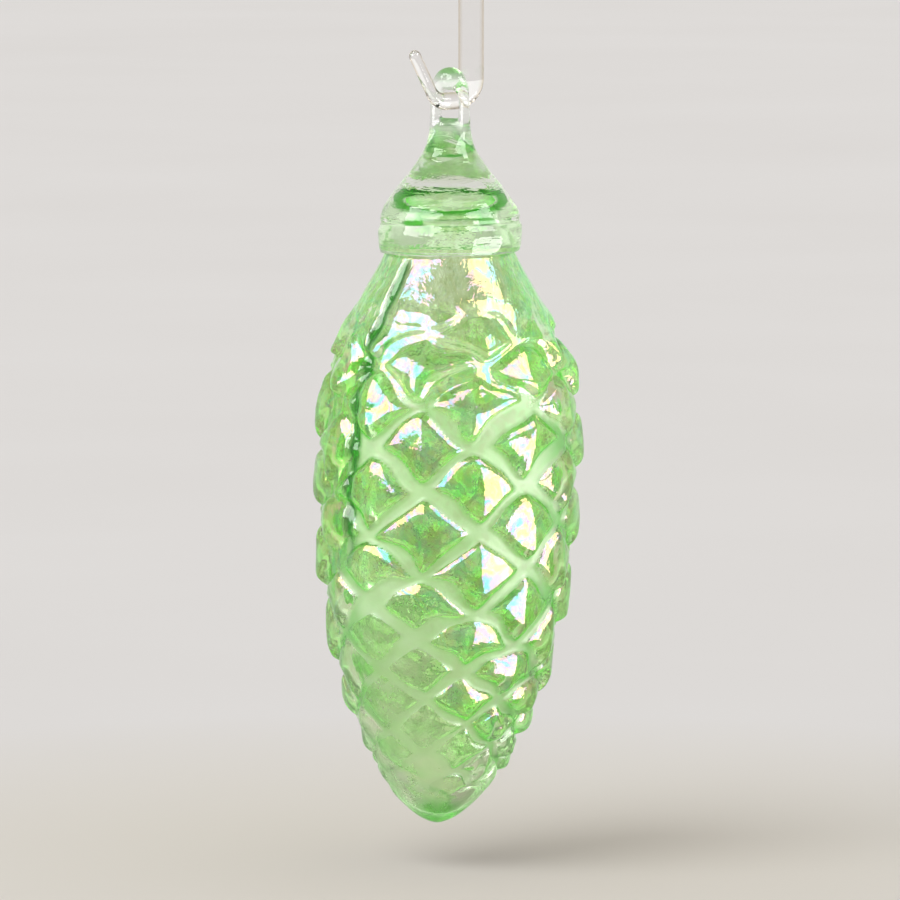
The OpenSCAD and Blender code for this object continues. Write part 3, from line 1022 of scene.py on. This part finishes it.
# %% Edges, fold and gather
EDGE_BLEND = 0.4
EDGE_FACING = (0.25, 0.65)
EDGE_WHERE_WORN = 0.7
MILK_AT_EDGE = 0.1
MILKY_CLEARNESS = 0.5
EDGE_GREEN = (0.10, 0.88, 0.045)
FOLD_SHADE_GREEN = (0.008, 0.17, 0.006)
GATHER_GREEN = (0.06, 0.74, 0.02)
edge_left = remap(tree, worn_and_glow_mask, (0.0, 1.0), (1.0, EDGE_WHERE_WORN))
edge = multiply(tree, edge_of(tree, EDGE_BLEND, EDGE_FACING), edge_left)
tint = blend_tints(tree, edge, tint, EDGE_GREEN)
# Painted shade: the crease of the fold is painted a near-black green.
tint = blend_tints(tree, stored(tree, "fold"), tint, FOLD_SHADE_GREEN)
tint = blend_tints(tree, stored(tree, "gather"), tint, GATHER_GREEN)
milk_look = multiply(tree, milk_look, remap(tree, edge, (0.0, 1.0), (1.0, MILK_AT_EDGE)))
clearness = remap(tree, milk_look, (0.1, 0.9), (1.0, MILKY_CLEARNESS))
tree.links.new(tint, shader.inputs["Base Color"])
tree.links.new(clearness, shader.inputs["Transmission Weight"])
print(green.name, len(tree.nodes), "nodes")

# %% [markdown]
# The bubble was fumed while hot, which leaves a film of metal oxide a few hundred nanometres thick.
# The film gives the pink, gold and blue of the highlights. It lies on the outer skin only, and
# stops short of the milk and the worn side. The milk is frosted instead, in fine speckles, and the
# worn side is a little dull.

# %% Frost and film on the green glass
FROST = (0.4, 0.6)
CLEAN_ROUGHNESS, WORN_ROUGHNESS = 0.015, 0.1
FILM_THICKNESS = (250, 380)
FUME_THICKER = 55.0
FILM_BEND = 1.72
speckle = remap(tree, noise(tree, scale=900), (0.3, 0.7), FROST)
frost = multiply(tree, remap(tree, milk_look, (0.05, 0.4), (0.0, 1.0)), speckle)
worn_frost = remap(tree, worn_and_glow_mask, (0.3, 1.0), (CLEAN_ROUGHNESS, WORN_ROUGHNESS))
tree.links.new(reckon(tree, "ADD", frost, worn_frost), shader.inputs["Roughness"])
film = remap(tree, noise(tree, scale=330, detail=6, distortion=1.0), (0.28, 0.72), FILM_THICKNESS)
film = reckon(tree, "ADD", film, multiply(tree, stored(tree, "fume"), FUME_THICKER))
off_milk = remap(tree, milk_look, (0.12, 0.2), (1.0, 0.0))
off_worn = remap(tree, worn_and_glow_mask, (0.3, 0.4), (1.0, 0.0))
film = multiply(tree, film, stored(tree, "skin"), off_milk, off_worn)
tree.links.new(film, shader.inputs["Thin Film Thickness"])
shader.inputs["Thin Film IOR"].default_value = FILM_BEND
print("film of", FILM_THICKNESS, "nanometres")

# %% [markdown]
# Last come the fine unevenness of a surface that cooled in the mould, in two sizes, and the grain of
# the streaks, which is strongest on the neck.

# %% Ripples of the green glass
WAVE_STRENGTH, WAVE_HEIGHT = 0.5, 0.2
RIPPLE_STRENGTH, RIPPLE_HEIGHT = 0.35, 0.12
STREAK_STRENGTH, STREAK_HEIGHT = (0.12, 0.7), 0.2
waves = noise(tree, scale=300, detail=3, distortion=0.4)
ripples = noise(tree, scale=900)
streak_strength = remap(tree, neck, (0.0, 1.0), STREAK_STRENGTH)
normal = bump(tree, waves, WAVE_STRENGTH, WAVE_HEIGHT * MM)
normal = bump(tree, ripples, RIPPLE_STRENGTH, RIPPLE_HEIGHT * MM, normal)
normal = bump(tree, streaks, streak_strength, STREAK_HEIGHT * MM, normal)
tree.links.new(normal, shader.inputs["Normal"])
print(green.name, len(tree.nodes), "nodes")

# %% [markdown]
# ### Clear glass
# The cap, the loop and the hook are clear. Close up, clear glass has a breath of colour in clouds, a
# trace of haze, and soft swirls from gathering: wound round the cap, and drawn out along the hook.
# One function makes all three, and the cap needs nothing more.

# %% Clear glass, and the cap
SWIRL_HEIGHT = 0.3
MOST_HAZE = 0.03


def clear_glass(name, tint, shade, swirl_scale, swirl_stretch, swirl_strength):
    finish, tree, shader = start_glass(name, tint)
    cloud = remap(tree, noise(tree, scale=120), (0.35, 0.7), (0.0, 1.0))
    mixed = blend_tints(tree, cloud, tint, shade)
    haze = remap(tree, noise(tree, scale=500), (0.3, 0.7), (0.0, MOST_HAZE))
    swirl = noise(tree, swirl_scale, detail=3, distortion=0.5, stretch=swirl_stretch)
    tree.links.new(mixed, shader.inputs["Base Color"])
    tree.links.new(haze, shader.inputs["Roughness"])
    tree.links.new(bump(tree, swirl, swirl_strength, SWIRL_HEIGHT * MM), shader.inputs["Normal"])
    return finish, tree, shader, mixed


CAP_TINT, CAP_SHADE = (0.98, 0.99, 0.97), (0.93, 0.975, 0.91)
cap_finish, tree, shader, mixed = clear_glass(
    "clear_glass", CAP_TINT, CAP_SHADE,
    swirl_scale=170, swirl_stretch=(1, 1, 3.5), swirl_strength=0.6)
print(cap_finish.name, "made")

# %% [markdown]
# The crown of the loop is tinted green, more towards its top. The web of glass between its legs is a
# little hazy, so that it stays pale and doesn't fill with the green below it. Both are a matter of
# height, so they read the Z of the piece.

# %% Glass of the loop
LOOP_TINT, LOOP_SHADE = (0.97, 0.985, 0.965), (0.92, 0.97, 0.91)
CROWN_GREEN = (0.12, 0.54, 0.07)
CROWN_GREEN_SHARE = 0.95
CROWN_FROM, CROWN_TO = HINGE_Z + 3.4, HINGE_Z + 5.4
WEB_Z = HINGE_Z - 5.0
WEB_REACH = 2.8
WEB_CLEARNESS = 0.68
loop_finish, tree, shader, mixed = clear_glass(
    "loop_glass", LOOP_TINT, LOOP_SHADE,
    swirl_scale=200, swirl_stretch=(1, 1, 1), swirl_strength=0.2)
where = tree.nodes.new("ShaderNodeTexCoord")
axes = tree.nodes.new("ShaderNodeSeparateXYZ")
tree.links.new(where.outputs["Object"], axes.inputs["Vector"])
crown = remap(tree, axes.outputs["Z"], (CROWN_FROM * MM, CROWN_TO * MM), (0.0, CROWN_GREEN_SHARE))
tree.links.new(blend_tints(tree, crown, mixed, CROWN_GREEN), shader.inputs["Base Color"])
from_web = reckon(tree, "ABSOLUTE", reckon(tree, "SUBTRACT", axes.outputs["Z"], WEB_Z * MM))
clearness = remap(tree, from_web, (0.0, WEB_REACH * MM), (WEB_CLEARNESS, 1.0))
tree.links.new(clearness, shader.inputs["Transmission Weight"])
print(loop_finish.name, "made")

# %% [markdown]
# A clear rod in front of a pale wall shows as two brownish lines, where its sides turn away. That is
# the same edge as on the green glass, in another tint.

# %% Glass of the hook
HOOK_TINT, HOOK_SHADE = (0.985, 0.98, 0.975), (0.96, 0.955, 0.95)
AMBER = (0.62, 0.49, 0.32)
ROD_EDGE_BLEND = 0.5
ROD_EDGE_FACING = (0.22, 0.65)
hook_finish, tree, shader, mixed = clear_glass(
    "hook_glass", HOOK_TINT, HOOK_SHADE,
    swirl_scale=90, swirl_stretch=(1, 1, 0.2), swirl_strength=0.15)
rod_edge = edge_of(tree, ROD_EDGE_BLEND, ROD_EDGE_FACING)
tree.links.new(blend_tints(tree, rod_edge, mixed, AMBER), shader.inputs["Base Color"])
print(hook_finish.name, "made")

# %% [markdown]
# ### Fused glass
# Where two gathers of glass meet there is no surface to bend the light. A Transparent shader lets
# it straight on. Between clear and clear it is hardly tinted. Where the green neck stands in the
# clear cap it is tinted as the wall is, and its lip is deep green, because there light runs down
# the length of the wall.


# %% Fused glass
def fused_glass(name, thin, thick, lip_tint):
    finish = bpy.data.materials.new(name)
    finish.use_nodes = True
    tree = finish.node_tree
    tree.nodes.remove(tree.nodes["Principled BSDF"])
    clear = tree.nodes.new("ShaderNodeBsdfTransparent")
    mixed = blend_tints(tree, noise(tree, scale=150), thin, thick)
    tree.links.new(blend_tints(tree, stored(tree, "lip"), mixed, lip_tint), clear.inputs["Color"])
    tree.links.new(clear.outputs["BSDF"], tree.nodes["Material Output"].inputs["Surface"])
    return finish


CLEAR_THIN, CLEAR_THICK, CLEAR_LIP = (0.99, 1.0, 0.985), (0.95, 0.99, 0.94), (0.97, 1.0, 0.96)
GREEN_THIN, GREEN_THICK, GREEN_LIP = (0.95, 0.995, 0.92), (0.84, 0.97, 0.78), (0.11, 0.53, 0.06)
fused_clear = fused_glass("fused_clear", CLEAR_THIN, CLEAR_THICK, CLEAR_LIP)
fused_green = fused_glass("fused_green", GREEN_THIN, GREEN_THICK, GREEN_LIP)
print(fused_clear.name, "and", fused_green.name, "made")

# %% [markdown]
# ## Dressing the frame
# Each piece gets its finish, rides on the body that its solid is part of, and stands for that solid.
# The dome of the cap closes the green bubble, so it takes the fused green.

# %% Finish, ride, replace
cap_fused = np.where(on_roof, 2, fused_seat | fused_top)
dressing = [
    (bubble, [green, fused_green], bubble_fused, "ornament", "cone_body", "green_glass"),
    (cap, [cap_finish, fused_clear, fused_green], cap_fused, "ornament", "neck_cap", "clear_glass"),
    (loop, [loop_finish, fused_clear], loop_fused, "ornament", "hanging_loop", "loop_glass"),
    (hook, [hook_finish], None, "hook", "hanger_hook", "hook_glass"),
]
for piece, finishes, fused_points, body, node, slot in dressing:
    piece.data.materials.clear()
    for finish in finishes:
        piece.data.materials.append(finish)
    if fused_points is not None:
        fuse_faces(piece, fused_points)
    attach(piece, body)
    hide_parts(node)

# %% [markdown]
# ## Floor
# The ornament hangs a few millimetres above a pale table. The floor is a wide disc, so that it
# fills the view from every side. It has no gloss, so that no lamp leaves a patch on it, and its
# tint goes from a darker, warm painted shade near the ornament to a paler, cool tint further off.
# The reach of the floor and the places of the lamps and the camera are large, so they are in metres.

# %% Pale floor
FLOOR_GAP = 8.0
FLOOR_Z = TIP_Z - FLOOR_GAP
FLOOR_REACH = 9.0
FLOOR_SIDES = 96
# Painted shade: the floor near the ornament is painted darker and warmer than further off.
NEAR_SHADE, PALE_NEAR_SHADE = (0.665, 0.63, 0.575), (0.70, 0.67, 0.62)
COOL, PALE_COOL = (0.70, 0.68, 0.68), (0.737, 0.721, 0.726)
SHADE_TO_OPEN = (0.18, 0.27)
start_piece()
bpy.ops.mesh.primitive_circle_add(vertices=FLOOR_SIDES, radius=FLOOR_REACH, fill_type="NGON",
                                  location=(0, 0, FLOOR_Z * MM))
floor = name_piece("floor")
bpy.ops.object.transform_apply(location=True, rotation=True, scale=True)
floor_finish = bpy.data.materials.new("pale_table")
floor_finish.use_nodes = True
tree = floor_finish.node_tree
shader = tree.nodes["Principled BSDF"]
shader.inputs["Roughness"].default_value = 0.8
shader.inputs["Specular IOR Level"].default_value = 0.0
mottle = noise(tree, scale=6, detail=3)
near_shade = blend_tints(tree, mottle, NEAR_SHADE, PALE_NEAR_SHADE)
far = blend_tints(tree, mottle, COOL, PALE_COOL)
where = tree.nodes.new("ShaderNodeTexCoord")
away = tree.nodes.new("ShaderNodeVectorMath")
away.operation = "LENGTH"
tree.links.new(where.outputs["Object"], away.inputs[0])
out_of_shade = remap(tree, away.outputs["Value"], SHADE_TO_OPEN, (0.0, 1.0))
tree.links.new(blend_tints(tree, out_of_shade, near_shade, far), shader.inputs["Base Color"])
floor.data.materials.append(floor_finish)
print("floor at", FLOOR_Z, "mm")

# %% [markdown]
# ## Light
# Glass is lit by what it reflects and what shows through it, and a table by what falls on it. Two
# soft suns light the table: the key from the upper left gives the shadow its side, and the fill
# softens it. Glass doesn't reflect them.

# %% Suns
AIM_H = 69.2
AIM = Vector((0, 0, (TIP_Z + AIM_H) * MM))
SUN_WAY = 1.5
COOL_LIGHT, WARM_LIGHT = (0.96, 0.985, 1.0), (1.0, 0.985, 0.95)


def towards(side, elevation):
    a, e = math.radians(FACING + side), math.radians(elevation)
    return Vector((math.cos(a) * math.cos(e), math.sin(a) * math.cos(e), math.sin(e)))


def aim_lamp(kind, name, side, elevation, distance, centre):
    start_piece()
    bpy.ops.object.light_add(type=kind, location=centre + towards(side, elevation) * distance)
    lamp = bpy.context.active_object
    lamp.name = name
    lamp.rotation_euler = (-towards(side, elevation)).to_track_quat("-Z", "Y").to_euler()
    lamp.visible_camera = False
    return lamp


def add_sun(name, side, elevation, energy, spread, colour):
    lamp = aim_lamp("SUN", name, side, elevation, SUN_WAY, AIM)
    lamp.data.energy = energy
    lamp.data.angle = math.radians(spread)
    lamp.data.color = colour
    lamp.visible_glossy = False
    print(name, energy)


add_sun("key_lamp", side=-47, elevation=50, energy=1.12, spread=40, colour=COOL_LIGHT)
add_sun("fill_lamp", side=-60, elevation=66, energy=0.5, spread=130, colour=WARM_LIGHT)

# %% [markdown]
# Panels are there for the glass alone: they are the white shapes on the scales and on the neck. What
# a panel shows in a reflection and what it shows through the glass need different strengths, so each
# one is two lamps in the same place, a shine that only reflections see and a glow that is only seen
# through glass. Two panels stand on the table, and the low one on the left only glows. Two hang
# higher, at the right and at the left of the camera.

# %% Panels
SHINE_AND_GLOW = {"shine": 1.0, "glow": 0.45}
GLOW_ONLY = {"glow": 1.0}
PANEL_TALL = 0.1
PANEL_LIFT = 0.002


def add_panel(name, side, elevation, distance, centre, size, strength, shares):
    wide, tall = size
    for use, share in shares.items():
        lamp = aim_lamp("AREA", name + "_" + use, side, elevation, distance, centre)
        lamp.data.shape = "RECTANGLE"
        lamp.data.size = wide
        lamp.data.size_y = tall
        lamp.data.energy = share * strength * math.pi * wide * tall
        lamp.visible_diffuse = False
        lamp.visible_glossy = use == "shine"
        lamp.visible_transmission = use == "glow"
        print(lamp.name, round(lamp.data.energy, 3), "W")


standing = Vector((0, 0, FLOOR_Z * MM + PANEL_TALL / 2 + PANEL_LIFT))
add_panel("right_panel", side=62, elevation=0, distance=0.115, centre=standing,
          size=(0.1, PANEL_TALL), strength=9.5, shares=SHINE_AND_GLOW)
add_panel("low_panel", side=-75, elevation=0, distance=0.16, centre=standing,
          size=(0.14, PANEL_TALL), strength=2.5, shares=GLOW_ONLY)
add_panel("upper_panel", side=58, elevation=38, distance=0.5, centre=AIM,
          size=(0.38, 0.26), strength=8.0, shares=SHINE_AND_GLOW)
add_panel("left_panel", side=-52, elevation=28, distance=0.7, centre=AIM,
          size=(0.75, 0.6), strength=8.0, shares=SHINE_AND_GLOW)

# %% [markdown]
# The world is a broad band of pale light round the horizon, like a backdrop on all sides, which
# shines through the glass evenly. Above it is a dimmer, warm room, which gives the upper scales
# their darker greens.

# %% World
BACKDROP = (0.96, 0.945, 0.92, 1)
BACKDROP_TOP = 0.42
ROOM = (0.45, 0.44, 0.405, 1)
ROOM_FROM = 0.68
world = bpy.data.worlds.new("studio")
bpy.context.scene.world = world
world.use_nodes = True
tree = world.node_tree
where = tree.nodes.new("ShaderNodeTexCoord")
axes = tree.nodes.new("ShaderNodeSeparateXYZ")
ramp = tree.nodes.new("ShaderNodeValToRGB")
below, above = ramp.color_ramp.elements
below.position = BACKDROP_TOP
below.color = BACKDROP
above.position = ROOM_FROM
above.color = ROOM
tree.links.new(where.outputs["Generated"], axes.inputs["Vector"])
tree.links.new(axes.outputs["Z"], ramp.inputs["Fac"])
tree.links.new(ramp.outputs["Color"], tree.nodes["Background"].inputs["Color"])
print("world", world.name)

# %% [markdown]
# ## Camera
# A long lens, a little above the middle of the ornament, as a product photographer would stand.
# Light takes many turns inside glass, so the renderer is allowed more bounces than usual.

# %% Camera and view
CAMERA_WAY = 1.5
CAMERA_UP = 6
SENSOR = 36
SPAN = 165.6
start_piece()
bpy.ops.object.camera_add(location=AIM + towards(0, CAMERA_UP) * CAMERA_WAY)
camera = bpy.context.active_object
camera.name = "camera"
camera.rotation_euler = (-towards(0, CAMERA_UP)).to_track_quat("-Z", "Y").to_euler()
camera.data.sensor_width = SENSOR
camera.data.lens = SENSOR * CAMERA_WAY / (SPAN * MM)
camera.data.clip_start = 0.01
camera.data.clip_end = 100
scene = bpy.context.scene
scene.camera = camera
scene.view_settings.view_transform = "Standard"
scene.cycles.caustics_refractive = False
scene.cycles.max_bounces = 32
scene.cycles.transmission_bounces = 28
scene.cycles.glossy_bounces = 16
scene.cycles.transparent_max_bounces = 24
print("lens", round(camera.data.lens), "mm")
